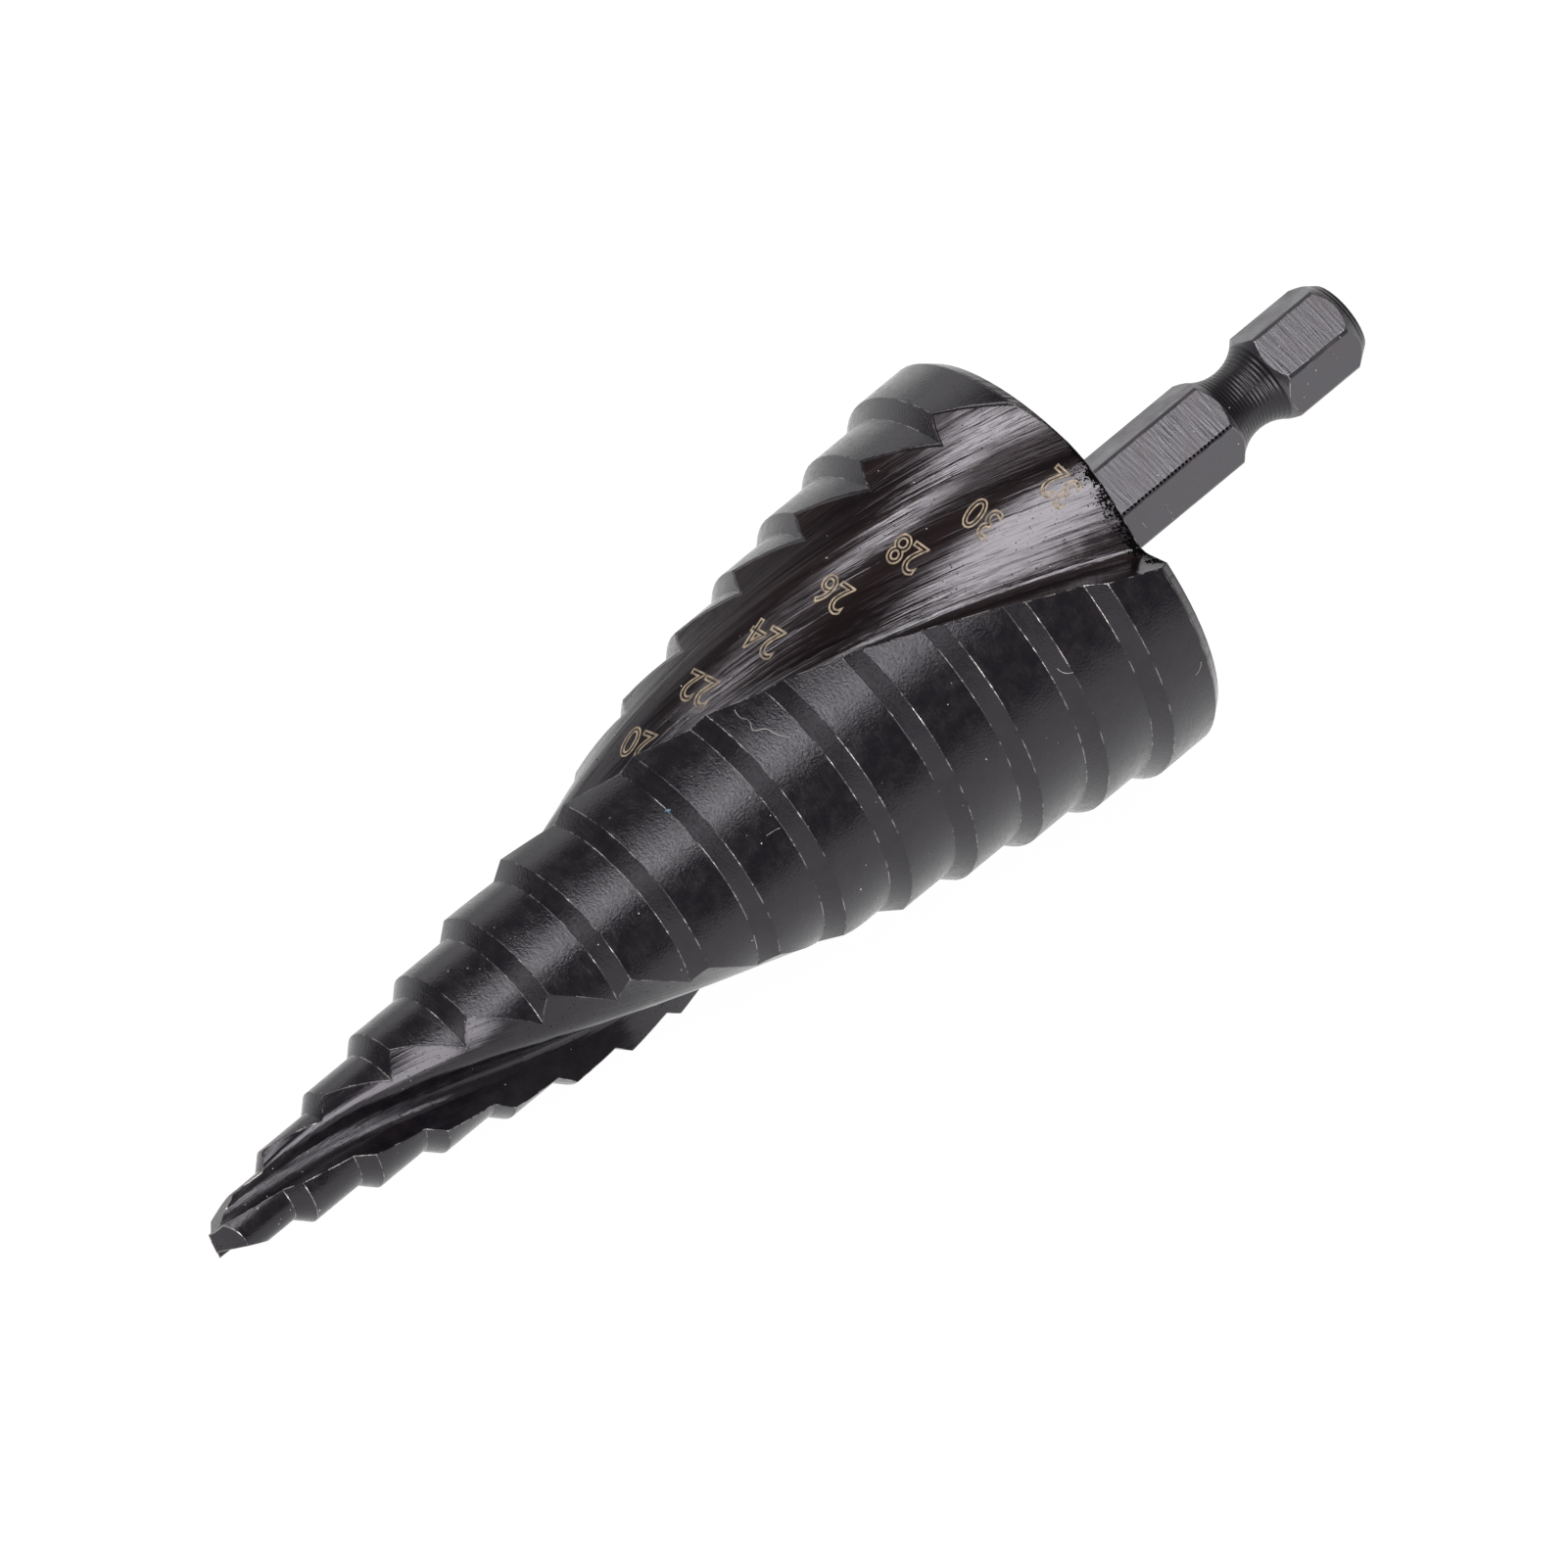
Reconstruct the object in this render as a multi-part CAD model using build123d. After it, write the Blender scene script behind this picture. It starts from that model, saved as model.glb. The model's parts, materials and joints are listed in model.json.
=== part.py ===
from build123d import *
from math import cos, sin, tan, exp, radians, hypot
import os

# Step drill, two flutes, hex quick-change shank.
# Worked along the drill axis: point at the origin, shank towards +Z.
# Every angle about the axis is counted from +X towards +Y.

# stepped body
STEPS = 15                # cutting diameters
FIRST_DIA = 4.0           # pilot
DIA_RISE = 2.0            # added at every step
FIRST_CORNER = 6.7        # point to the first stepped-up corner
PITCH = 5.1               # corner to corner
SHOULDER = 1.1            # axial length of the cone between two steps
BODY_END = 77.6           # rear face of the largest step
REAR_BEVEL = 0.6          # radial
REAR_BEVEL_RUN = 0.8      # axial

# flutes
EDGE_START = -25.0        # cutting edge angle at the point
LEAD = 310.0              # right-hand helix: axial run for a full turn
EXTRA_TURN = 153.0        # further degrees, most of them near the point
EXTRA_RUN = 34.8          # axial run that takes two thirds of them
CORE = 0.65               # radius of the core at the point
CORE_LEVEL = 9.0          # axial run before the core grows
CORE_RISE = 0.175
FOOT_AHEAD = 0.35         # foot of the rake face, set ahead of radial
FOOT_AHEAD_RISE = 0.04    # and more by this much of the radius
FOOT_RADIUS = 0.85        # fillet between rake face and floor
# by step number: degrees or share, straight between the pairs and level outside them
HEEL_ANGLE = ((3.2, 86.0), (8.5, 65.5))
HEEL_SLOPE = ((0.7, 40.0), (2.0, 52.0), (4.6, 50.0), (6.4, 40.0))
FLOOR_RISE = ((1.6, 16.0), (7.5, 6.0))
FLOOR_PULL = ((0.7, 0.55), (3.6, 0.64))
FLUTE_SECTIONS = 25       # evenly spaced from below the point to past the rear face

# point
POINT_ANGLE = 118.0
RELIEF = 22.0             # behind each lip
HEEL_RELIEF = (-0.42, 2.1)  # behind that: rise per mm along the lip and away from it
HEEL_RELIEF_DROP = 0.95
HEEL_RELIEF_SIDE = 36.0   # turn of the plane that keeps it off the other lip

# shank
HEX_AF = 6.35
HEX_TURN = 17.0           # a corner of the hex, seen from the point
HEX_ROUND = 7.16          # the corners are turned down to this diameter
SHANK = 25.75
SHANK_CHAMFER = 0.9       # radial
SHANK_CHAMFER_RUN = 1.3   # axial
GROOVE_BACK = 9.35        # groove centre from the shank end
GROOVE_DIA = 4.8
GROOVE_RADIUS = 3.6

# rest: on the rear rim and the middle steps
REST_DOWN = 146.8         # angle about the axis that faces the floor
REST_RISE = 9.7           # rise of the axis towards the shank
REST_TOLERANCE = 0.01     # of the surface points that find the lowest one


def step_corner(i):
    return FIRST_CORNER + PITCH * (i - 1)


def cone_radius(z):
    return FIRST_DIA / 2 + DIA_RISE / 2 * (1 + (z - FIRST_CORNER) / PITCH)


def edge_angle(z):
    return EDGE_START + 360 * z / LEAD + EXTRA_TURN * (1 - exp(-z / EXTRA_RUN))


def in_section(z, depth, lead):
    """Point of a flute section: depth along the cutting edge's own radius, lead ahead of it."""
    a = radians(edge_angle(z))
    return Vector(depth * cos(a) + lead * sin(a), depth * sin(a) - lead * cos(a), z)


def ramp(z, steps):
    """Value at z, straight between (step number, value) pairs and level outside them."""
    at = 1 + (z - FIRST_CORNER) / PITCH
    value = steps[0][1]
    for (n0, v0), (n1, v1) in zip(steps, steps[1:]):
        value += (v1 - v0) * min(max((at - n0) / (n1 - n0), 0), 1)
    return value


def flute_section(z):
    r = cone_radius(max(z, FIRST_DIA / 2))
    foot = CORE + CORE_RISE * max(0, z - CORE_LEVEL)
    ahead = FOOT_AHEAD + FOOT_AHEAD_RISE * r
    heel, heel_slope = radians(ramp(z, HEEL_ANGLE)), radians(ramp(z, HEEL_SLOPE))

    slope = ahead / (r - foot)
    rake_top = (1.6 * r, -slope * 0.6 * r)
    rake_low = (foot + FOOT_RADIUS, slope * (r - foot - FOOT_RADIUS))
    corner = (foot, ahead)
    floor_start = (foot, ahead + FOOT_RADIUS)
    way = (-sin(heel_slope), cos(heel_slope))
    past = (r * cos(heel) + 0.2 * r * way[0], r * sin(heel) + 0.2 * r * way[1])
    clear = (past[0] + 0.5 * r * way[0], past[1] + 0.5 * r * way[1])
    reach = ramp(z, FLOOR_PULL) * hypot(past[0] - foot, past[1] - ahead)
    rise = radians(ramp(z, FLOOR_RISE))
    leave = (foot + 0.7 * reach * sin(rise), floor_start[1] + 0.7 * reach * cos(rise))
    arrive = (past[0] - reach * way[0], past[1] - reach * way[1])
    far = (2.9 * r * cos(heel / 2), 2.9 * r * sin(heel / 2))

    def curve(*pts):
        return Bezier(*[in_section(z, x, y) for x, y in pts])

    return Wire([curve(rake_top, rake_low), curve(rake_low, corner, floor_start),
                 curve(floor_start, leave, arrive, past), curve(past, clear),
                 curve(clear, far, rake_top)])


def body_blank():
    pts = [(0, -FIRST_DIA / 4), (FIRST_DIA / 2, -FIRST_DIA / 4)]
    for i in range(1, STEPS):
        r = (FIRST_DIA + DIA_RISE * i) / 2
        pts += [(r - DIA_RISE / 2, step_corner(i) - SHOULDER), (r, step_corner(i))]
    pts += [(r, BODY_END - REAR_BEVEL_RUN), (r - REAR_BEVEL, BODY_END), (0, BODY_END)]
    outline = Polyline(*[(x, 0, z) for x, z in pts], close=True)
    return revolve(make_face(outline), Axis.Z)


def shank():
    end, outer = BODY_END + SHANK, HEX_ROUND / 2
    corner = HEX_AF / 2 / cos(radians(30))
    hexagon = Plane.XY.offset(BODY_END - outer) * Rotation(0, 0, HEX_TURN) * RegularPolygon(corner, 6)
    bar = extrude(hexagon, SHANK + outer)
    turned = Polyline((0, 0, BODY_END - outer), (outer, 0, BODY_END - outer),
                      (outer, 0, end - SHANK_CHAMFER_RUN), (outer - SHANK_CHAMFER, 0, end),
                      (0, 0, end), close=True)
    groove = Pos(GROOVE_DIA / 2 + GROOVE_RADIUS, 0, end - GROOVE_BACK) * (
        Plane.XZ * Circle(GROOVE_RADIUS))
    return bar & revolve(make_face(turned), Axis.Z) - revolve(groove, Axis.Z)


def flute():
    first, last = -0.75 * FIRST_DIA, BODY_END + 0.7 * PITCH
    gap = (last - first) / (FLUTE_SECTIONS - 1)
    return Solid.make_loft([flute_section(first + gap * i) for i in range(FLUTE_SECTIONS)])


def flank():
    rise = 1 / tan(radians(POINT_ANGLE / 2)), tan(radians(RELIEF))
    return Plane(origin=(0, 0, 0), z_dir=(*rise, -1)) * Box(
        8 * FIRST_DIA, 8 * FIRST_DIA, 3 * FIRST_DIA, align=(Align.CENTER, Align.CENTER, Align.MIN))


def heel_flank():
    under = Plane(origin=(0, 0, -HEEL_RELIEF_DROP), z_dir=(*HEEL_RELIEF, -1)) * Box(
        8 * FIRST_DIA, 8 * FIRST_DIA, 3 * FIRST_DIA, align=(Align.CENTER, Align.CENTER, Align.MIN))
    own_side = Box(5 * FIRST_DIA, 10 * FIRST_DIA, 10 * FIRST_DIA,
                   align=(Align.MIN, Align.CENTER, Align.CENTER))
    return under & Rotation(0, 0, HEEL_RELIEF_SIDE) * own_side


cuts = [flute(), flank(), heel_flank()]
drill = body_blank()
for cut in cuts:
    drill = drill - cut - Rotation(0, 0, 180) * cut
drill = drill + shank()

# laid down as it comes to rest, shank towards +X
lying = Rotation(0, 90 - REST_RISE, 0) * Rotation(0, 0, -REST_DOWN) * drill
surface = lying.tessellate(REST_TOLERANCE, 0.1)[0]
along = [p.X for p in surface]
drill = Pos(-(min(along) + max(along)) / 2, 0, -min(p.Z for p in surface)) * lying

if __name__ == "__main__":
    os.makedirs("parts", exist_ok=True)
    export_step(drill, "parts/step_drill.step")
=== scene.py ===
import bpy, bmesh, json, math, random
from mathutils import Matrix, Vector
from mathutils.bvhtree import BVHTree


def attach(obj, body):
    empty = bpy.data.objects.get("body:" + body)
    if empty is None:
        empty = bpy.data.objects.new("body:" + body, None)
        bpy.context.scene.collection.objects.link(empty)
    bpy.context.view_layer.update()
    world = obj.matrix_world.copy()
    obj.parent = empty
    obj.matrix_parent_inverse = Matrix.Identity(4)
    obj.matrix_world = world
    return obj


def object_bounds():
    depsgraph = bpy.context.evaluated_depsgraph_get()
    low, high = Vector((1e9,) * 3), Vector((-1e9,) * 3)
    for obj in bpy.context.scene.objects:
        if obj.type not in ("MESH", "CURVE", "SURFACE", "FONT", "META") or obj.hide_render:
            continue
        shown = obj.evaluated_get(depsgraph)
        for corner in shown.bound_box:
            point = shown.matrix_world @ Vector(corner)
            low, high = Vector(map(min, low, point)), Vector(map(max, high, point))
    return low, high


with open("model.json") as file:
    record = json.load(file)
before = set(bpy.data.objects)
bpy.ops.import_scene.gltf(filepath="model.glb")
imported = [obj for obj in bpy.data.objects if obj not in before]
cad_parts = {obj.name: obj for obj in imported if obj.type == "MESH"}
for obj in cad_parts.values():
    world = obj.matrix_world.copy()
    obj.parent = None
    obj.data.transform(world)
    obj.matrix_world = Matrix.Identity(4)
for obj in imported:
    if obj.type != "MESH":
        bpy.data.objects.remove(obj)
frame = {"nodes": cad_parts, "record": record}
cad_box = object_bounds()
bpy.context.scene.view_settings.view_transform = "Standard"

# CAMERA
# Looks down on the lying drill from beyond its point, so the shank runs away to the upper right.
# A long lens from three metres keeps the steps nearly free of perspective.
camera = bpy.data.objects.new("camera", bpy.data.cameras.new("camera"))
bpy.context.scene.collection.objects.link(camera)
bpy.context.scene.camera = camera
camera.data.sensor_width, camera.data.lens = 36, 1029.4
camera.data.clip_start, camera.data.clip_end = 0.5, 20
looks_at = Vector((-0.000295, -0.000662, 0.011744))
azimuth, elevation, roll = math.radians(-131.49), math.radians(46.35), math.radians(-1.01)
towards = Vector((math.cos(azimuth) * math.cos(elevation), math.sin(azimuth) * math.cos(elevation),
                  math.sin(elevation)))
camera.matrix_world = (Matrix.Translation(looks_at + 3.0 * towards)
                       @ towards.to_track_quat("Z", "Y").to_matrix().to_4x4()
                       @ Matrix.Rotation(roll, 4, "Z"))

# BODY AND SHANK
# One piece of high speed steel, turned to steps, with two ground spiral flutes and a hex shank.
# Blackened in an oxide bath and oiled: the solid's own shape stays, and only its finish is made here.
drill = frame["nodes"]["step_drill"]
shank_end = next(m for m in frame["record"]["mounts"] if m["name"] == "shank_end")
axis = Vector(shank_end["axis"]).normalized()
# millimetres: the whole drill, the body's rear face, the 6 mm step's corner, step to step, and a cone
length, body_end, first_corner, pitch, shoulder = 103.35, 77.6, 6.7, 5.1, 1.1
first_radius, radius_rise = 3.0, 1.0
point = Vector(shank_end["pos_m"]) - length / 1000 * axis
# the drill's own axes in the frame, two across and the third towards the shank, and how far the
# drill is rolled about its axis as it lies
down_angle = math.radians(146.8)
own = (Matrix.Rotation(math.radians(90) - math.asin(axis.z), 3, "Y")
       @ Matrix.Rotation(-down_angle, 3, "Z"))
# the cutting edge's turn about the axis: degrees at the point, mm a turn, and the tighter start
edge_start, lead, extra_turn, extra_run = -25, 310, 153, 34.8


def linear(hex_colour):
    """sRGB hex to the linear values that Blender mixes light in."""
    parts = [int(hex_colour[i:i + 2], 16) / 255 for i in (1, 3, 5)]
    return [p / 12.92 if p <= 0.04045 else ((p + 0.055) / 1.055) ** 2.4 for p in parts] + [1.0]


def add(tree, kind, inputs=None, **settings):
    """Adds a node. Inputs are values or the sockets that feed them."""
    made = tree.nodes.new(kind)
    for name, value in settings.items():
        setattr(made, name, value)
    for name, value in (inputs or {}).items():
        if isinstance(value, bpy.types.NodeSocket):
            tree.links.new(value, made.inputs[name])
        else:
            made.inputs[name].default_value = value
    return made


# Black oxide on ground high speed steel: near black, glossy with oil, so what the eye sees is the
# studio mirrored in long bands along the steps, broken by the grinding marks under the oxide.
oxide = bpy.data.materials.new("black_oxide_on_ground_steel")
oxide.use_nodes = True
tree = oxide.node_tree
tree.nodes.clear()
out = add(tree, "ShaderNodeOutputMaterial")
place = add(tree, "ShaderNodeTexCoord")
# millimetres in the drill's own axes, zero at the point
to_own = own.transposed()
mm = add(tree, "ShaderNodeMapping", {"Vector": place.outputs["Object"], "Scale": (1000, 1000, 1000),
                                     "Location": -(to_own @ point) * 1000,
                                     "Rotation": to_own.to_euler("XYZ")}).outputs[0]
split = add(tree, "ShaderNodeSeparateXYZ", {0: mm})
z = split.outputs["Z"]
across = add(tree, "ShaderNodeVectorMath", {0: mm, 1: (1, 1, 0)}, operation="MULTIPLY").outputs[0]
radius = add(tree, "ShaderNodeVectorMath", {0: across}, operation="LENGTH").outputs["Value"]

# which step a point is on, how far along it, and how deep it lies below that step's own radius
steps_up = add(tree, "ShaderNodeMath", {0: z, 1: first_corner}, operation="SUBTRACT").outputs[0]
steps_up = add(tree, "ShaderNodeMath", {0: steps_up, 1: pitch}, operation="DIVIDE").outputs[0]
whole = add(tree, "ShaderNodeMath", {0: steps_up}, operation="FLOOR").outputs[0]
part = add(tree, "ShaderNodeMath", {0: steps_up, 1: whole}, operation="SUBTRACT").outputs[0]
up_cone = add(tree, "ShaderNodeMapRange", {"Value": part, "From Min": 1 - shoulder / pitch}).outputs[0]
land = add(tree, "ShaderNodeMath", {0: whole, 1: up_cone}, operation="ADD").outputs[0]
land = add(tree, "ShaderNodeMath", {0: land, 1: radius_rise, 2: first_radius}, operation="MULTIPLY_ADD"
           ).outputs[0]
sunk = add(tree, "ShaderNodeMath", {0: land, 1: radius}, operation="SUBTRACT").outputs[0]
in_flute = add(tree, "ShaderNodeMapRange", {"Value": sunk, "From Min": 0.05, "From Max": 0.12}).outputs[0]
on_shank = add(tree, "ShaderNodeMath", {0: z, 1: body_end - 0.02}, operation="GREATER_THAN").outputs[0]
off_shank = add(tree, "ShaderNodeMath", {0: 1.0, 1: on_shank}, operation="SUBTRACT").outputs[0]
in_flute = add(tree, "ShaderNodeMath", {0: in_flute, 1: off_shank}, operation="MULTIPLY").outputs[0]

# the drill unwound, so that its flutes run straight along z, and how far a point lies behind the
# cutting edge by the numbers, in radians about the axis: less than zero is ahead, in its flute
fade = add(tree, "ShaderNodeMath", {0: z, 1: -1 / extra_run}, operation="MULTIPLY").outputs[0]
fade = add(tree, "ShaderNodeMath", {0: fade}, operation="EXPONENT").outputs[0]
wound = add(tree, "ShaderNodeMath", {0: z, 1: math.radians(360 / lead),
                                     2: math.radians(edge_start + extra_turn)},
            operation="MULTIPLY_ADD").outputs[0]
wound = add(tree, "ShaderNodeMath", {0: fade, 1: -math.radians(extra_turn), 2: wound},
            operation="MULTIPLY_ADD").outputs[0]
unwound = add(tree, "ShaderNodeVectorRotate", {"Vector": mm, "Angle": wound},
              rotation_type="Z_AXIS", invert=True).outputs[0]
turned = add(tree, "ShaderNodeSeparateXYZ", {0: unwound})
behind = add(tree, "ShaderNodeMath", {0: turned.outputs["X"], 1: -1.0}, operation="MULTIPLY").outputs[0]
aslant = add(tree, "ShaderNodeMath", {0: turned.outputs["Y"], 1: -1.0}, operation="MULTIPLY").outputs[0]
behind = add(tree, "ShaderNodeMath", {0: aslant, 1: behind}, operation="ARCTAN2").outputs[0]

# wheel marks in the flutes, a quarter of a millimetre wide with finer ones among them, and gathered
# in bands. They follow the flute, some 30 times longer than wide, measured at its middle radius.
flute_radius, mark_stretch = 9.0, 0.03
wheel_mark, wheel_band = 1 / 4, 5 / 9
round_flute = add(tree, "ShaderNodeMath", {0: behind, 1: flute_radius}, operation="MULTIPLY").outputs[0]
up_axis = add(tree, "ShaderNodeMath", {0: z, 1: mark_stretch}, operation="MULTIPLY").outputs[0]
along_flute = add(tree, "ShaderNodeCombineXYZ", {0: round_flute, 2: up_axis}).outputs[0]
wheel_fine = add(tree, "ShaderNodeTexNoise", {"Vector": along_flute, "Scale": 1 / wheel_mark,
                                              "Detail": 3.0, "Roughness": 0.7}).outputs["Fac"]
wheel_bands = add(tree, "ShaderNodeTexNoise", {"Vector": along_flute, "Scale": 1 / wheel_band,
                                               "Detail": 2.0}).outputs["Fac"]

# turning marks round the lands, then the patchy bite of the bath, its grain and its faint brown
# clouds, each so many millimetres wide
turning_mark, bite_patch, oxide_grain, brown_cloud = 1 / 6, 10 / 9, 2 / 11, 5 / 2
round_land = add(tree, "ShaderNodeVectorMath", {0: mm, 1: (0.16, 0.16, 1)}, operation="MULTIPLY"
                 ).outputs[0]
turning = add(tree, "ShaderNodeTexNoise", {"Vector": round_land, "Scale": 1 / turning_mark,
                                           "Detail": 4.0, "Roughness": 0.7}).outputs["Fac"]
bite = add(tree, "ShaderNodeTexNoise", {"Vector": mm, "Scale": 1 / bite_patch, "Detail": 7.0,
                                        "Roughness": 0.62}).outputs["Fac"]
grain = add(tree, "ShaderNodeTexNoise", {"Vector": mm, "Scale": 1 / oxide_grain, "Detail": 3.0,
                                         "Roughness": 0.6}).outputs["Fac"]
clouds = add(tree, "ShaderNodeTexNoise", {"Vector": mm, "Scale": 1 / brown_cloud, "Detail": 6.0,
                                          "Roughness": 0.65}).outputs["Fac"]

# colours: neutral black lands, flutes that turn browner from a third of the way up, and a greyer
# shank with faint brown clouds and a black groove
marks_begin, marks_full = 36.0, 56.0
bitten = add(tree, "ShaderNodeMapRange", {"Value": bite, "From Min": 0.38, "From Max": 0.66}).outputs[0]
banded = add(tree, "ShaderNodeMapRange", {"Value": wheel_bands, "From Min": 0.35, "From Max": 0.65}
             ).outputs[0]
land_colour = add(tree, "ShaderNodeMix", {0: bitten, 6: linear("#100e12"), 7: linear("#1c181c")},
                  data_type="RGBA").outputs[2]
flute_colour = add(tree, "ShaderNodeMix", {0: banded, 6: linear("#130e10"), 7: linear("#221a1a")},
                   data_type="RGBA").outputs[2]
up_flute = add(tree, "ShaderNodeMapRange", {"Value": z, "From Min": marks_begin,
                                            "From Max": marks_full}).outputs[0]
flute_colour = add(tree, "ShaderNodeMix", {0: up_flute, 6: land_colour, 7: flute_colour},
                   data_type="RGBA").outputs[2]
clouded = add(tree, "ShaderNodeMapRange", {"Value": clouds, "From Min": 0.42, "From Max": 0.6}).outputs[0]
shank_colour = add(tree, "ShaderNodeMix", {0: clouded, 6: linear("#1b1c20"), 7: linear("#292325")},
                   data_type="RGBA").outputs[2]
colour = add(tree, "ShaderNodeMix", {0: in_flute, 6: land_colour, 7: flute_colour},
             data_type="RGBA").outputs[2]
colour = add(tree, "ShaderNodeMix", {0: on_shank, 6: colour, 7: shank_colour},
             data_type="RGBA").outputs[2]
groove_radius = 3.1
in_groove = add(tree, "ShaderNodeMath", {0: radius, 1: groove_radius}, operation="LESS_THAN").outputs[0]
in_groove = add(tree, "ShaderNodeMath", {0: in_groove, 1: on_shank}, operation="MULTIPLY").outputs[0]
colour = add(tree, "ShaderNodeMix", {0: in_groove, 6: colour, 7: linear("#131113")},
             data_type="RGBA").outputs[2]

# gloss: oiled lands nearly mirror with duller patches where the bath bit, the flutes' marks shine,
# and the shank is satin. The flutes and the flats reflect more than the lands, so their index rises.
land_rough = add(tree, "ShaderNodeMapRange", {"Value": turning, "From Min": 0.3, "From Max": 0.7,
                                              "To Min": 0.06, "To Max": 0.24}).outputs[0]
land_rough = add(tree, "ShaderNodeMath", {0: bitten, 1: 0.12, 2: land_rough}, operation="MULTIPLY_ADD"
                 ).outputs[0]
flute_rough = add(tree, "ShaderNodeMapRange", {"Value": wheel_fine, "From Min": 0.3, "From Max": 0.7,
                                               "To Min": 0.08, "To Max": 0.22}).outputs[0]
rough = add(tree, "ShaderNodeMix", {0: in_flute, 2: land_rough, 3: flute_rough}).outputs[0]
shank_rough = add(tree, "ShaderNodeMapRange", {"Value": clouds, "From Min": 0.35, "From Max": 0.65,
                                               "To Min": 0.25, "To Max": 0.45}).outputs[0]
shank_rough = add(tree, "ShaderNodeMix", {0: in_groove, 2: shank_rough, 3: 0.34}).outputs[0]
rough = add(tree, "ShaderNodeMix", {0: on_shank, 2: rough, 3: shank_rough}).outputs[0]
on_flats = add(tree, "ShaderNodeMath", {0: on_shank, 1: in_groove}, operation="SUBTRACT").outputs[0]
bare = add(tree, "ShaderNodeMath", {0: in_flute, 1: up_flute}, operation="MULTIPLY").outputs[0]
oil = add(tree, "ShaderNodeMix", {0: bare, 2: 1.5, 3: 1.65}).outputs[0]
oil = add(tree, "ShaderNodeMix", {0: on_flats, 2: oil, 3: 1.9}).outputs[0]

# dull places that mirror little or nothing. First the stripes between the wheel marks, and two bands
# of painted shade along the flute, where the reflection is taken away: one between its bright bands,
# and one from there to the heel of the land ahead. From 57 mm to the rear they move away from the
# edge by so many degrees, and they waver.
shade_band_begin, shade_band_end, heel_shade_end, waver = 57.0, 74.0, 74.4, 9.0
stripes_and_shade = add(tree, "ShaderNodeMapRange", {"Value": wheel_fine, "From Min": 0.5, "From Max": 0.34,
                                           "To Max": 0.55}).outputs[0]
behind = add(tree, "ShaderNodeMath", {0: behind, 1: 180 / math.pi}, operation="MULTIPLY").outputs[0]
behind = add(tree, "ShaderNodeMath", {0: wheel_bands, 1: waver, 2: behind}, operation="MULTIPLY_ADD"
             ).outputs[0]
middle = add(tree, "ShaderNodeMapRange", {"Value": z, "From Min": shade_band_begin, "From Max": shade_band_end,
                                          "To Min": -11.5, "To Max": -36.5}).outputs[0]
# painted shade: a band with no reflection between the flute's bright bands
painted_shade_band = add(tree, "ShaderNodeMath", {0: behind, 1: middle}, operation="SUBTRACT").outputs[0]
painted_shade_band = add(tree, "ShaderNodeMath", {0: painted_shade_band}, operation="ABSOLUTE").outputs[0]
painted_shade_band = add(tree, "ShaderNodeMapRange", {"Value": painted_shade_band, "From Min": 10.0, "From Max": 4.5,
                                         "To Max": 0.85}).outputs[0]
# painted shade: no reflection from there back to the heel of the land ahead
painted_heel_shade = add(tree, "ShaderNodeMapRange", {"Value": z, "From Min": shade_band_begin, "From Max": heel_shade_end,
                                        "To Min": 21.5, "To Max": 53.5}).outputs[0]
painted_heel_shade = add(tree, "ShaderNodeMath", {0: behind, 1: painted_heel_shade}, operation="ADD").outputs[0]
painted_heel_shade = add(tree, "ShaderNodeMapRange", {"Value": painted_heel_shade, "From Min": 2.0, "From Max": -6.0,
                                        "To Max": 0.8}).outputs[0]
painted_shade_band = add(tree, "ShaderNodeMath", {0: painted_shade_band, 1: painted_heel_shade}, operation="MAXIMUM").outputs[0]
stripes_and_shade = add(tree, "ShaderNodeMath", {0: stripes_and_shade, 1: painted_shade_band}, operation="MAXIMUM").outputs[0]
stripes_and_shade = add(tree, "ShaderNodeMath", {0: stripes_and_shade, 1: up_flute}, operation="MULTIPLY").outputs[0]

# then pits, and the flute floor's rear edge, burnt ragged and black over its last half millimetre or
# so. Grain and bite each average a half, so together they push the burn's start 3.5 mm forwards.
grain_push, bite_push, burn_begin, burn_full = 4.0, 3.0, 2.75, 2.95
floor_begin, floor_depth = 0.8, 1.1
pits = add(tree, "ShaderNodeMapRange", {"Value": grain, "From Min": 0.36, "From Max": 0.32}).outputs[0]
rear_edge = add(tree, "ShaderNodeMath", {0: grain, 1: grain_push, 2: z}, operation="MULTIPLY_ADD"
                ).outputs[0]
rear_edge = add(tree, "ShaderNodeMath", {0: bite, 1: bite_push, 2: rear_edge}, operation="MULTIPLY_ADD"
                ).outputs[0]
rear_edge = add(tree, "ShaderNodeMapRange", {"Value": rear_edge, "From Min": body_end + burn_begin,
                                             "From Max": body_end + burn_full}).outputs[0]
deep = add(tree, "ShaderNodeMapRange", {"Value": sunk, "From Min": floor_begin,
                                        "From Max": floor_depth}).outputs[0]
rear_edge = add(tree, "ShaderNodeMath", {0: rear_edge, 1: deep}, operation="MULTIPLY").outputs[0]
rear_edge = add(tree, "ShaderNodeMath", {0: rear_edge, 1: off_shank}, operation="MULTIPLY").outputs[0]
# dull places, with the painted shade bands among them
dull_and_painted_shade = add(tree, "ShaderNodeMath", {0: stripes_and_shade, 1: pits}, operation="MAXIMUM").outputs[0]
dull_and_painted_shade = add(tree, "ShaderNodeMath", {0: dull_and_painted_shade, 1: rear_edge}, operation="MAXIMUM").outputs[0]
dull_and_painted_shade = add(tree, "ShaderNodeMath", {0: dull_and_painted_shade, 1: in_flute}, operation="MULTIPLY").outputs[0]

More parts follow.
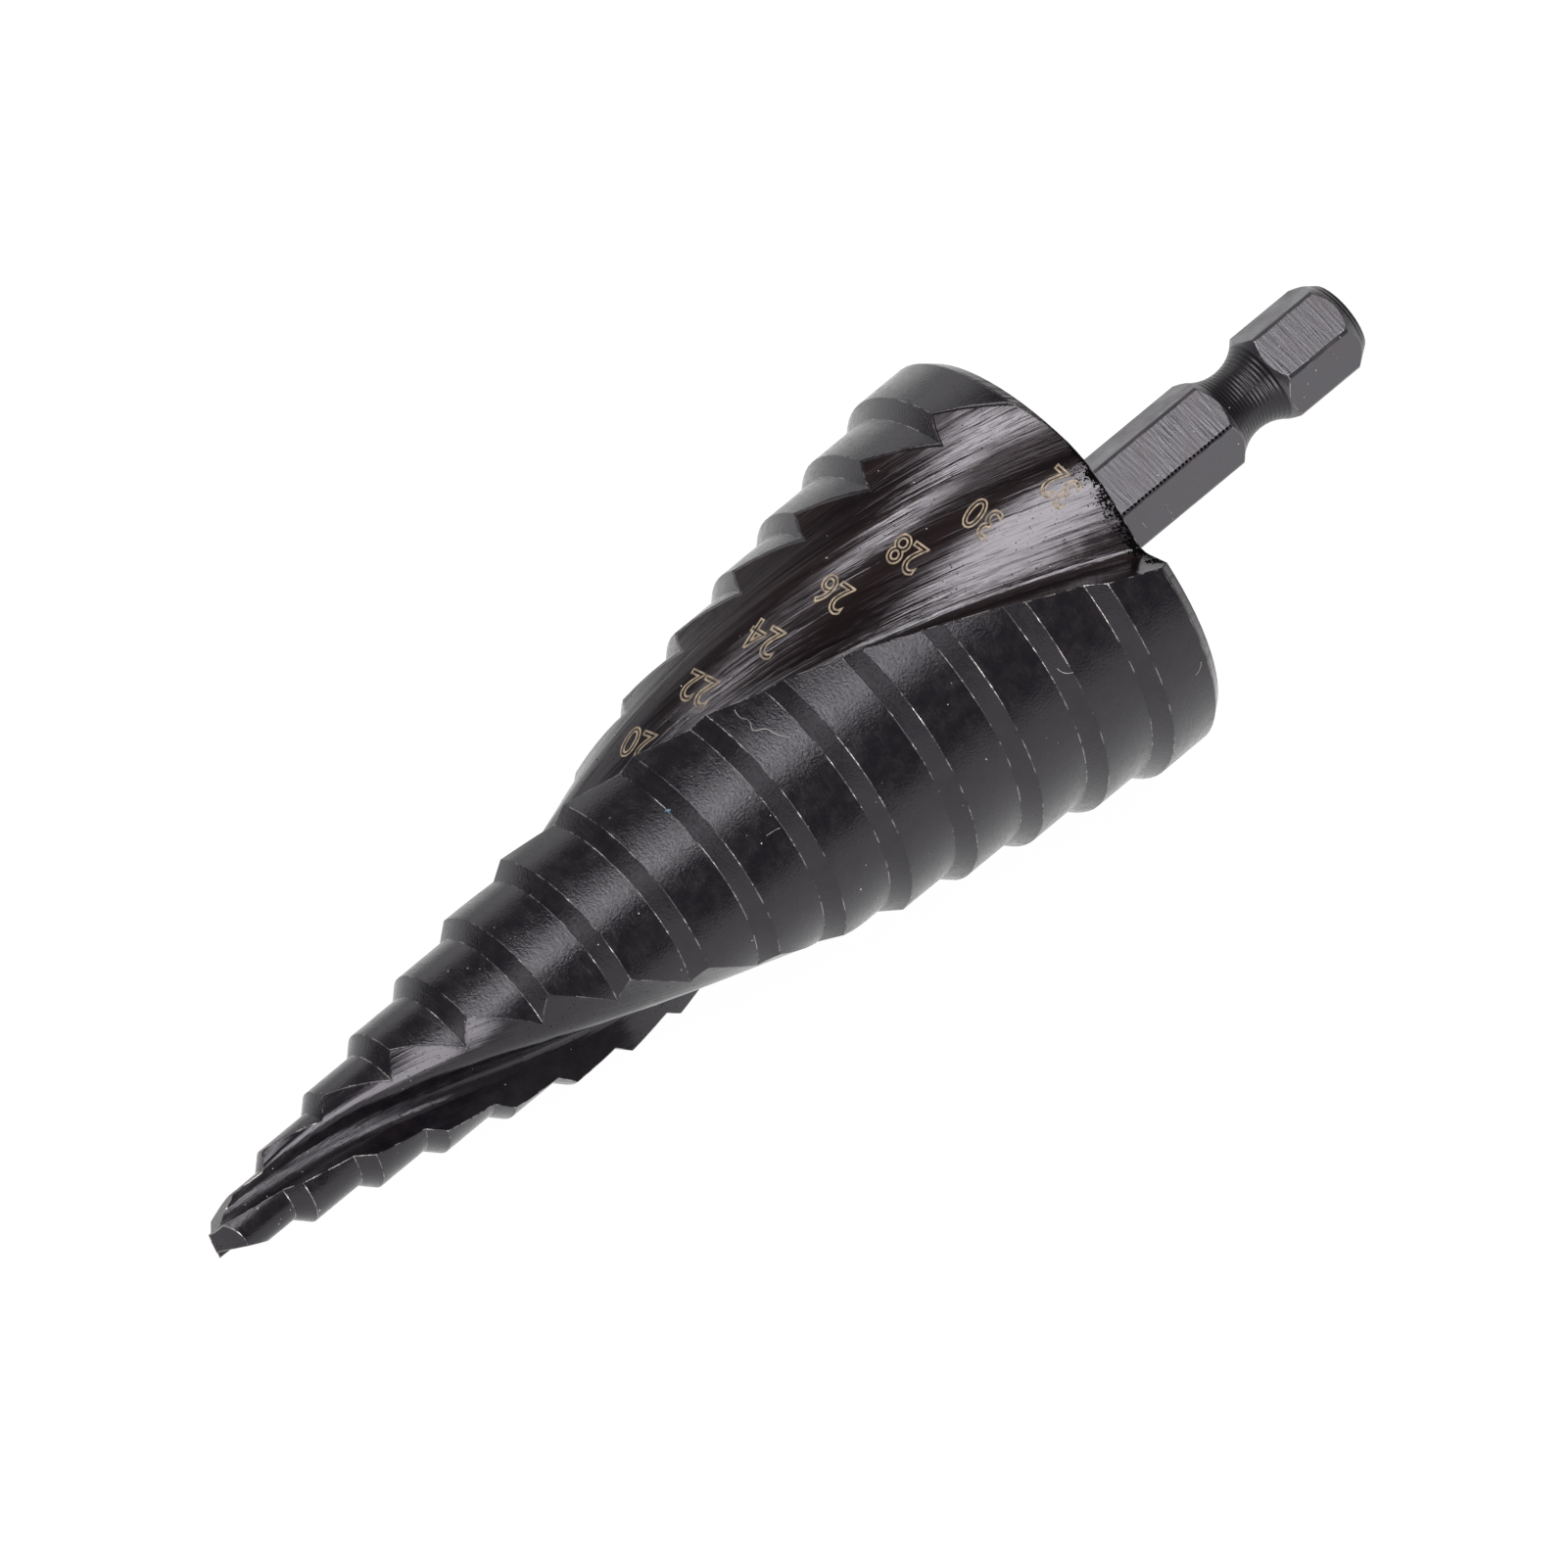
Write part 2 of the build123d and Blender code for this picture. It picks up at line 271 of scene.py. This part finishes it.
# last, the row of jaw tooth marks along one corner of the hex, from the body nearly to the groove:
# how far apart, how steep, how far out the corner stands from the axis and to the side, how long
tooth_gap, tooth_slope, corner_radius, corner_side, marked_length = 0.34, 0.16, 3.592, 3.41, 15
teeth = add(tree, "ShaderNodeMath", {0: z, 1: tooth_gap / 2}, operation="PINGPONG").outputs[0]
teeth = add(tree, "ShaderNodeMath", {0: teeth, 1: tooth_slope, 2: radius}, operation="MULTIPLY_ADD"
            ).outputs[0]
teeth = add(tree, "ShaderNodeMath", {0: teeth, 1: corner_radius}, operation="GREATER_THAN").outputs[0]
ahead = add(tree, "ShaderNodeMath", {0: z, 1: body_end + marked_length}, operation="LESS_THAN").outputs[0]
lower = add(tree, "ShaderNodeMath", {0: split.outputs["X"], 1: corner_side}, operation="GREATER_THAN"
            ).outputs[0]
teeth = add(tree, "ShaderNodeMath", {0: teeth, 1: lower}, operation="MULTIPLY").outputs[0]
slim = add(tree, "ShaderNodeMath", {0: radius, 1: corner_radius + 0.1}, operation="LESS_THAN").outputs[0]
teeth = add(tree, "ShaderNodeMath", {0: teeth, 1: slim}, operation="MULTIPLY").outputs[0]
teeth = add(tree, "ShaderNodeMath", {0: teeth, 1: ahead}, operation="MULTIPLY").outputs[0]
teeth = add(tree, "ShaderNodeMath", {0: teeth, 1: on_shank}, operation="MULTIPLY").outputs[0]
dull_and_painted_shade = add(tree, "ShaderNodeMath", {0: dull_and_painted_shade, 1: teeth}, operation="MAXIMUM").outputs[0]
# specular level: the usual half, falling to none in the dull marks and the painted shade bands
mirror = add(tree, "ShaderNodeMapRange", {"Value": dull_and_painted_shade, "To Min": 0.5, "To Max": 0.0}).outputs[0]
burnt = add(tree, "ShaderNodeMath", {0: teeth, 1: rear_edge}, operation="MAXIMUM").outputs[0]
colour = add(tree, "ShaderNodeMix", {0: burnt, 6: colour, 7: linear("#0a090a")},
             data_type="RGBA").outputs[2]

# heights, in hundredths of a millimetre: grain and turning marks on the lands, marks along the
# flutes, milling across the flats of the shank, and turned rings in its groove
height_step, milling_mark, ring_gap = 0.01, 2 / 9, 0.3
land_height = add(tree, "ShaderNodeMath", {0: grain, 1: 2.5, 2: turning}, operation="MULTIPLY_ADD"
                  ).outputs[0]
combed = add(tree, "ShaderNodeMath", {0: wheel_bands, 1: 7.0}, operation="MULTIPLY").outputs[0]
flute_height = add(tree, "ShaderNodeMath", {0: wheel_fine, 1: 4.5, 2: combed},
                   operation="MULTIPLY_ADD").outputs[0]
cut_depth = add(tree, "ShaderNodeMapRange", {"Value": up_flute, "To Min": 0.3, "To Max": 1.0}).outputs[0]
flute_height = add(tree, "ShaderNodeMath", {0: flute_height, 1: cut_depth}, operation="MULTIPLY").outputs[0]
milled = add(tree, "ShaderNodeVectorMath", {0: mm, 1: (0.08, 0.08, 1)}, operation="MULTIPLY").outputs[0]
milled = add(tree, "ShaderNodeTexNoise", {"Vector": milled, "Scale": 1 / milling_mark, "Detail": 3.0}
             ).outputs["Fac"]
milled = add(tree, "ShaderNodeMath", {0: milled, 1: 2.2}, operation="MULTIPLY").outputs[0]
rings = add(tree, "ShaderNodeMath", {0: z, 1: 2 * math.pi / ring_gap}, operation="MULTIPLY").outputs[0]
rings = add(tree, "ShaderNodeMath", {0: rings}, operation="SINE").outputs[0]
rings = add(tree, "ShaderNodeMath", {0: rings, 1: 1.4, 2: milled}, operation="MULTIPLY_ADD").outputs[0]
milled = add(tree, "ShaderNodeMix", {0: in_groove, 2: milled, 3: rings}).outputs[0]
height = add(tree, "ShaderNodeMix", {0: in_flute, 2: land_height, 3: flute_height}).outputs[0]
height = add(tree, "ShaderNodeMix", {0: on_shank, 2: height, 3: milled}).outputs[0]

# edges broken by a tenth of a millimetre, where the oxide is rubbed through to bright steel, most
# of all near the point. This pale steel also serves as painted glints, on concave edges too.
edge_break = 0.12
broken = add(tree, "ShaderNodeBevel", {"Radius": edge_break / 1000}, samples=8).outputs[0]
normal = add(tree, "ShaderNodeBump", {"Height": height, "Distance": height_step / 1000, "Strength": 1.0,
                                      "Normal": broken}).outputs[0]
facing = add(tree, "ShaderNodeNewGeometry").outputs["Normal"]
turned_away = add(tree, "ShaderNodeVectorMath", {0: broken, 1: facing}, operation="DOT_PRODUCT"
                  ).outputs["Value"]
on_edge = add(tree, "ShaderNodeMapRange", {"Value": turned_away, "From Min": 0.995, "From Max": 0.93}
              ).outputs[0]
near_point = add(tree, "ShaderNodeMapRange", {"Value": z, "From Min": 0.0, "From Max": 16.0,
                                              "To Min": 0.09, "To Max": 0.0}).outputs[0]
rubbed_and_glinting = add(tree, "ShaderNodeMath", {0: bite, 1: near_point}, operation="ADD").outputs[0]
rubbed_and_glinting = add(tree, "ShaderNodeMapRange", {"Value": rubbed_and_glinting, "From Min": 0.5, "From Max": 0.6}).outputs[0]
# pale bare steel on the edges: partly wear, partly painted glint
wear_and_painted_glint = add(tree, "ShaderNodeMath", {0: on_edge, 1: rubbed_and_glinting}, operation="MULTIPLY").outputs[0]
colour = add(tree, "ShaderNodeMix", {0: wear_and_painted_glint, 6: colour, 7: linear("#c4c0bb")},
             data_type="RGBA").outputs[2]

steel = add(tree, "ShaderNodeBsdfPrincipled", {"Base Color": colour, "Roughness": rough,
                                               "Metallic": wear_and_painted_glint, "IOR": oil, "Normal": normal,
                                               "Specular IOR Level": mirror,
                                               "Specular Tint": linear("#fcf7ff")})
tree.links.new(steel.outputs["BSDF"], out.inputs["Surface"])
drill.data.materials[0] = oxide

# NUMBERS
# The cutting diameters from 20 to 32 mm, burnt into the oxide by a laser on the flute's floor.
# Each is the outline of its digits, set beside the middle of its own step, tops to the point.
skin = BVHTree.FromPolygons([drill.matrix_world @ v.co for v in drill.data.vertices],
                            [list(p.vertices) for p in drill.data.polygons])
# degrees ahead of the cutting edge, mm past the middle of the step, and the lean of the digits
edge_ahead, number_shift, lean = 30.5, 0.4, math.radians(12)
digit_height, digit_squeeze, line_proud = 2.4, 0.74, 0.02
# in parts of the digits' size: half a stroke's width, and the longest piece that stays straight
half_stroke, longest_piece = 0.026, 0.1


def edge_angle(z_mm):
    """The turn of the cutting edge about the axis, in degrees, at z mm from the point."""
    return edge_start + 360 * z_mm / lead + extra_turn * (1 - math.exp(-z_mm / extra_run))


def on_skin(z_mm, degrees):
    """The surface point that faces outwards at z mm and an angle about the axis, and its normal."""
    a = math.radians(degrees)
    outwards = own @ Vector((math.cos(a), math.sin(a), 0))
    hit, facing_out, _, _ = skin.ray_cast(point + axis * z_mm / 1000 + outwards * 0.03, -outwards)
    return hit, facing_out


# Laser burn on steel: the oxide browned by heat and matt, so it reads as a tan line, uneven every
# 0.4 mm along its stroke.
burn_patch = 0.4
burn = bpy.data.materials.new("laser_burn_on_steel")
burn.use_nodes = True
tree = burn.node_tree
patches = add(tree, "ShaderNodeTexNoise", {"Vector": add(tree, "ShaderNodeTexCoord").outputs["Object"],
                                           "Scale": 1000 / burn_patch, "Detail": 3.0}).outputs["Fac"]
patches = add(tree, "ShaderNodeMapRange", {"Value": patches, "From Min": 0.35, "From Max": 0.65}).outputs[0]
tan = add(tree, "ShaderNodeMix", {0: patches, 6: linear("#6a5d50"), 7: linear("#b09d84")},
          data_type="RGBA").outputs[2]
tree.links.new(tan, tree.nodes["Principled BSDF"].inputs["Base Color"])
tree.nodes["Principled BSDF"].inputs["Roughness"].default_value = 0.55

for diameter in range(20, 33, 2):
    z_mm = first_corner + pitch * ((diameter - 4) / 2 - 1) + (pitch - shoulder) / 2 + number_shift
    angle = edge_angle(z_mm) - 180 - edge_ahead
    centre, facing_out = on_skin(z_mm, angle)
    a = math.radians(angle)
    aside = own @ Vector((-math.sin(a), math.cos(a), 0))
    tops = aside * math.sin(lean) - axis * math.cos(lean)
    tops = (tops - facing_out * tops.dot(facing_out)).normalized()
    reading = tops.cross(facing_out)

    letters = bpy.data.curves.new(f"number_{diameter}", "FONT")
    letters.body, letters.fill_mode, letters.resolution_u = str(diameter), "NONE", 4
    letters.align_x, letters.align_y = "CENTER", "CENTER"
    letters.size, letters.bevel_depth, letters.bevel_resolution = 1.0, half_stroke, 1
    holder = bpy.data.objects.new(f"number_{diameter}", letters)
    mesh = bpy.data.meshes.new_from_object(holder)
    bpy.data.objects.remove(holder)
    # straight strokes are cut into short pieces, so that they follow the hollow of the floor
    strokes = bmesh.new()
    strokes.from_mesh(mesh)
    long_edges = [e for e in strokes.edges if e.calc_length() > longest_piece]
    bmesh.ops.subdivide_edges(strokes, edges=long_edges, cuts=5)
    strokes.to_mesh(mesh)
    strokes.free()
    low, high = min(v.co.y for v in mesh.vertices), max(v.co.y for v in mesh.vertices)
    grow = digit_height / 1000 / (high - low)
    for v in mesh.vertices:
        start = centre + reading * v.co.x * grow * digit_squeeze + tops * v.co.y * grow
        hit, _, _, _ = skin.ray_cast(start + facing_out * 0.004, -facing_out)
        v.co = hit + facing_out * v.co.z / half_stroke * line_proud / 1000
    number = bpy.data.objects.new(f"number_{diameter}", mesh)
    bpy.context.scene.collection.objects.link(number)
    mesh.materials.clear()
    mesh.materials.append(burn)
    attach(number, "root")

# LINT AND DUST
# Loose fibres and specks that cling to the oil film, all over the drill.
# Each fibre is a thin round thread, laid on the surface from one place to the next.

# Cotton lint: matt and pale, uneven along each fibre at about a millimetre.
fibre_tuft = 10 / 9
fluff = bpy.data.materials.new("pale_cotton_lint")
fluff.use_nodes = True
tree = fluff.node_tree
tint = add(tree, "ShaderNodeTexNoise", {"Vector": add(tree, "ShaderNodeTexCoord").outputs["Object"],
                                        "Scale": 1000 / fibre_tuft}).outputs["Fac"]
tint = add(tree, "ShaderNodeMapRange", {"Value": tint, "From Min": 0.4, "From Max": 0.6}).outputs[0]
tint = add(tree, "ShaderNodeMix", {0: tint, 6: linear("#8d8780"), 7: linear("#c9c6c2")},
           data_type="RGBA").outputs[2]
tree.links.new(tint, tree.nodes["Principled BSDF"].inputs["Base Color"])
tree.nodes["Principled BSDF"].inputs["Roughness"].default_value = 0.9

# Dyed cotton lint: one pale blue fleck, its blue uneven every quarter of a millimetre.
dye_patch = 0.25
blue_fluff = bpy.data.materials.new("blue_cotton_lint")
blue_fluff.use_nodes = True
tree = blue_fluff.node_tree
tint = add(tree, "ShaderNodeTexNoise", {"Vector": add(tree, "ShaderNodeTexCoord").outputs["Object"],
                                        "Scale": 1000 / dye_patch}).outputs["Fac"]
tint = add(tree, "ShaderNodeMix", {0: tint, 6: linear("#4f7fa0"), 7: linear("#8fb6cc")},
           data_type="RGBA").outputs[2]
tree.links.new(tint, tree.nodes["Principled BSDF"].inputs["Base Color"])
tree.nodes["Principled BSDF"].inputs["Roughness"].default_value = 0.9

# each fibre's places: mm from the point, and degrees about the axis
fibre_radius = 0.017
fibres = {"squiggle": [(49.1, -30), (48.8, -26.5), (49.3, -23), (48.7, -19), (49.7, -17),
                       (49.8, -12), (50.4, -9)],
          "bent_hair": [(45.1, 13.6), (45.9, 13.8), (46.2, 14.7)],
          "blue_fleck": [(41.1, -20.8), (41.5, -20.4), (41.1, -20), (41.6, -19.6), (41.2, -19.4)],
          "rear_curl": [(76.3, 48), (76.2, 50), (75.6, 50.6)],
          "hex_curl": [(84.6, 46), (84.4, 55), (84.8, 65)],
          "hex_hair": [(82.4, 44), (82.6, 57)],
          "middle_hair": [(67.3, 25), (67.4, 27.6), (67.9, 27.7)]}
for name, places in fibres.items():
    thread = bpy.data.curves.new(f"lint_{name}", "CURVE")
    thread.dimensions, thread.bevel_depth, thread.bevel_resolution = "3D", fibre_radius / 1000, 1
    thread.resolution_u = 6
    path = thread.splines.new("NURBS")
    path.points.add(len(places) - 1)
    for spot, (z_mm, degrees) in zip(path.points, places):
        hit, facing_out = on_skin(z_mm, degrees)
        spot.co = (*(hit + facing_out * fibre_radius / 1000), 1)
    path.order_u, path.use_endpoint_u = 3, True
    lint = bpy.data.objects.new(f"lint_{name}", thread)
    bpy.context.scene.collection.objects.link(lint)
    thread.materials.append(blue_fluff if name == "blue_fleck" else fluff)
    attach(lint, "root")

# dust specks, pale like the lint, with radii in mm
speck_count = 320
speck_mesh = bpy.data.meshes.new("dust")
specks = bmesh.new()
random.seed(7)
for _ in range(speck_count):
    z_mm, degrees = random.uniform(3, 102), random.uniform(-180, 180)
    hit, facing_out = on_skin(z_mm, degrees)
    size = random.choice((0.025, 0.03, 0.035, 0.04, 0.055)) / 1000
    # none on the outermost places, so that the drill keeps its size
    if not all(low + 2 * size < c < high - 2 * size for low, c, high in zip(cad_box[0], hit, cad_box[1])):
        continue
    squash = Matrix.Diagonal((random.uniform(0.7, 1.8), random.uniform(0.7, 1.3), 0.8, 1))
    turn = facing_out.to_track_quat("Z", "Y").to_matrix().to_4x4() @ Matrix.Rotation(degrees, 4, "Z")
    bmesh.ops.create_icosphere(specks, subdivisions=1, radius=size,
                               matrix=Matrix.Translation(hit) @ turn @ squash)
specks.to_mesh(speck_mesh)
specks.free()
dust = bpy.data.objects.new("dust", speck_mesh)
bpy.context.scene.collection.objects.link(dust)
speck_mesh.materials.append(fluff)
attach(dust, "root")

# FLOOR AND LIGHT
# A wide flat sheet of white paper, lit from above by a long soft box and from the front by a smaller
# one, with a card that fills in from the point's side and one from behind.
# The camera and the gloss of the steel see the paper as plain white with the drill's faint shadow.
floor_mesh = bpy.data.meshes.new("paper_floor")
floor_mesh.from_pydata([(-3, -3, 0), (3, -3, 0), (3, 3, 0), (-3, 3, 0)], [], [(0, 1, 2, 3)])
paper_floor = bpy.data.objects.new("paper_floor", floor_mesh)
bpy.context.scene.collection.objects.link(paper_floor)

# White paper: matt, and lit it scatters four fifths of the light back at the drill. Seen or mirrored
# it is plain white, with a little of the light on it so that it keeps the shadow.
paper = bpy.data.materials.new("white_paper")
paper.use_nodes = True
tree = paper.node_tree
tree.nodes.clear()
out = add(tree, "ShaderNodeOutputMaterial")
rays = add(tree, "ShaderNodeLightPath")
seen = add(tree, "ShaderNodeMath", {0: rays.outputs["Is Camera Ray"], 1: rays.outputs["Is Glossy Ray"]},
           operation="MAXIMUM").outputs[0]
seen = add(tree, "ShaderNodeMath", {0: seen, 1: rays.outputs["Is Transmission Ray"]},
           operation="MAXIMUM").outputs[0]
matt = add(tree, "ShaderNodeBsdfDiffuse", {"Color": linear("#e7e7e7")})
faint = add(tree, "ShaderNodeBsdfDiffuse", {"Color": linear("#4b4b4b")})
glow = add(tree, "ShaderNodeEmission", {"Color": linear("#ffffff"), "Strength": 0.97})
white = add(tree, "ShaderNodeAddShader", {0: faint.outputs[0], 1: glow.outputs[0]})
sheet = add(tree, "ShaderNodeMixShader", {0: seen, 1: matt.outputs[0], 2: white.outputs[0]})
tree.links.new(sheet.outputs[0], out.inputs["Surface"])
floor_mesh.materials.append(paper)

# the studio's own light, dim and even
world = bpy.data.worlds.new("studio")
bpy.context.scene.world = world
world.use_nodes = True
world.node_tree.nodes["Background"].inputs["Color"].default_value = linear("#7c7c7c")
world.node_tree.nodes["Background"].inputs["Strength"].default_value = 1.0

# each lamp: name, place and sides in metres, turn in degrees for the one that hangs level, and
# watts. The others face the drill.
for name, spot, sides, turn, watts in (
        ("overhead_soft_box", (-0.17, -0.02, 1.5), (1.88, 0.38), -59, 19),
        ("front_soft_box", (-0.57, -1.23, 0.63), (0.58, 1.00), None, 13.7),
        ("side_card", (-1.43, -0.15, 0.40), (0.50, 0.30), None, 1.4),
        ("back_card", (0.10, 1.40, 0.50), (1.60, 0.70), None, 3.2)):
    soft_box = bpy.data.lights.new(name, "AREA")
    soft_box.shape, soft_box.energy = "RECTANGLE", watts
    soft_box.size, soft_box.size_y = sides
    lamp = bpy.data.objects.new(name, soft_box)
    bpy.context.scene.collection.objects.link(lamp)
    lamp.location = spot
    if turn is None:
        lamp.rotation_euler = Vector(spot).to_track_quat("Z", "Y").to_euler()
    else:
        lamp.rotation_euler.z = math.radians(turn)
